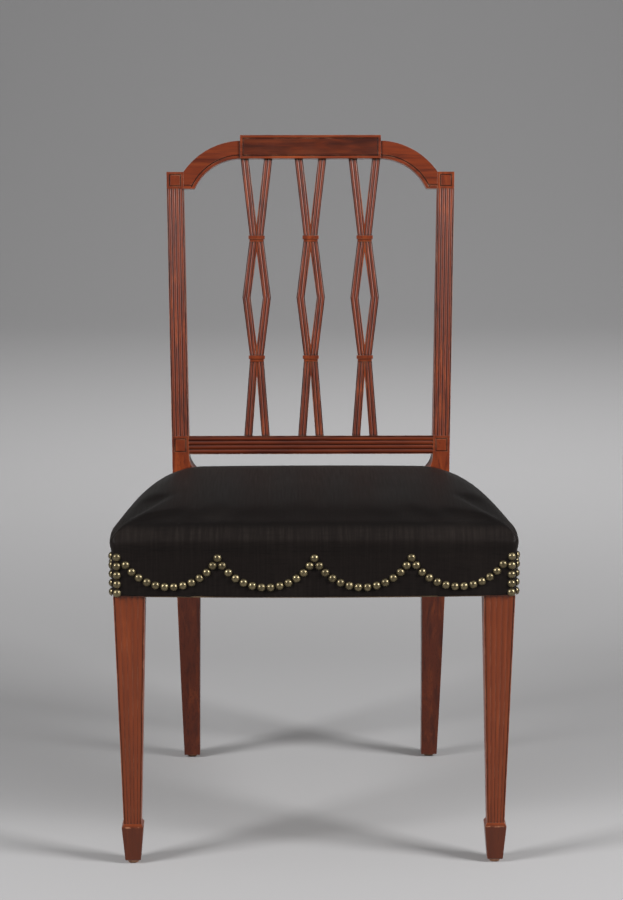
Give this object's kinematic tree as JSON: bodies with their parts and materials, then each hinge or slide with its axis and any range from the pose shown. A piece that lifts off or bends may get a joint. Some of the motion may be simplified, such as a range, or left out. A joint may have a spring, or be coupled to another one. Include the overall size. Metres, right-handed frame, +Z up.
{
  "type": "splat back dining chair",
  "caption": "Mahogany side chair with an arched, pierced splat back, square tapered legs on spade feet, and a seat covered in black horsehair with swags of brass nails.",
  "frame": {"origin": "on the floor, under the middle of the chair's bounding box", "axes": "+Z up, +Y from the front of the seat to the back, +X to the right seen from the front"},
  "size_m": [0.534, 0.5194, 0.9255],
  "materials": {
    "mahogany": "polished shellac",
    "figured_veneer": "polished shellac",
    "rail_ash": "sawn and aged",
    "linen_webbing": "woven, matt",
    "jute_sacking": "open weave, matt",
    "hair_stuffing": "matt",
    "horsehair_cloth": "satin weave",
    "antique_brass": "aged, waxed",
    "glide_steel": "worn, browned"
  },
  "bodies": {
    "root": {"crest_rail": "mahogany", "front_block_left": "rail_ash", "front_block_right": "rail_ash", "front_corner_nails": "antique_brass", "front_glide_left": "glide_steel", "front_glide_right": "glide_steel", "front_leg_left": "mahogany", "front_leg_right": "mahogany", "front_rail": "rail_ash", "front_swag_nails": "antique_brass", "left_side_nails": "antique_brass", "rear_block_left": "rail_ash", "rear_block_right": "rail_ash", "rear_glide_left": "glide_steel", "rear_glide_right": "glide_steel", "rear_post_left": "mahogany", "rear_post_right": "mahogany", "rear_rail": "rail_ash", "right_side_nails": "antique_brass", "sacking": "jute_sacking", "seat_cover": "horsehair_cloth", "seat_stuffing": "hair_stuffing", "side_rail_left": "rail_ash", "side_rail_right": "rail_ash", "splat_centre": "mahogany", "splat_left": "mahogany", "splat_right": "mahogany", "stay_rail": "mahogany", "tablet_veneer": "figured_veneer", "webbing_cross_front": "linen_webbing", "webbing_cross_middle": "linen_webbing", "webbing_cross_rear": "linen_webbing", "webbing_long_left": "linen_webbing", "webbing_long_middle": "linen_webbing", "webbing_long_right": "linen_webbing"}
  },
  "joints": []
}
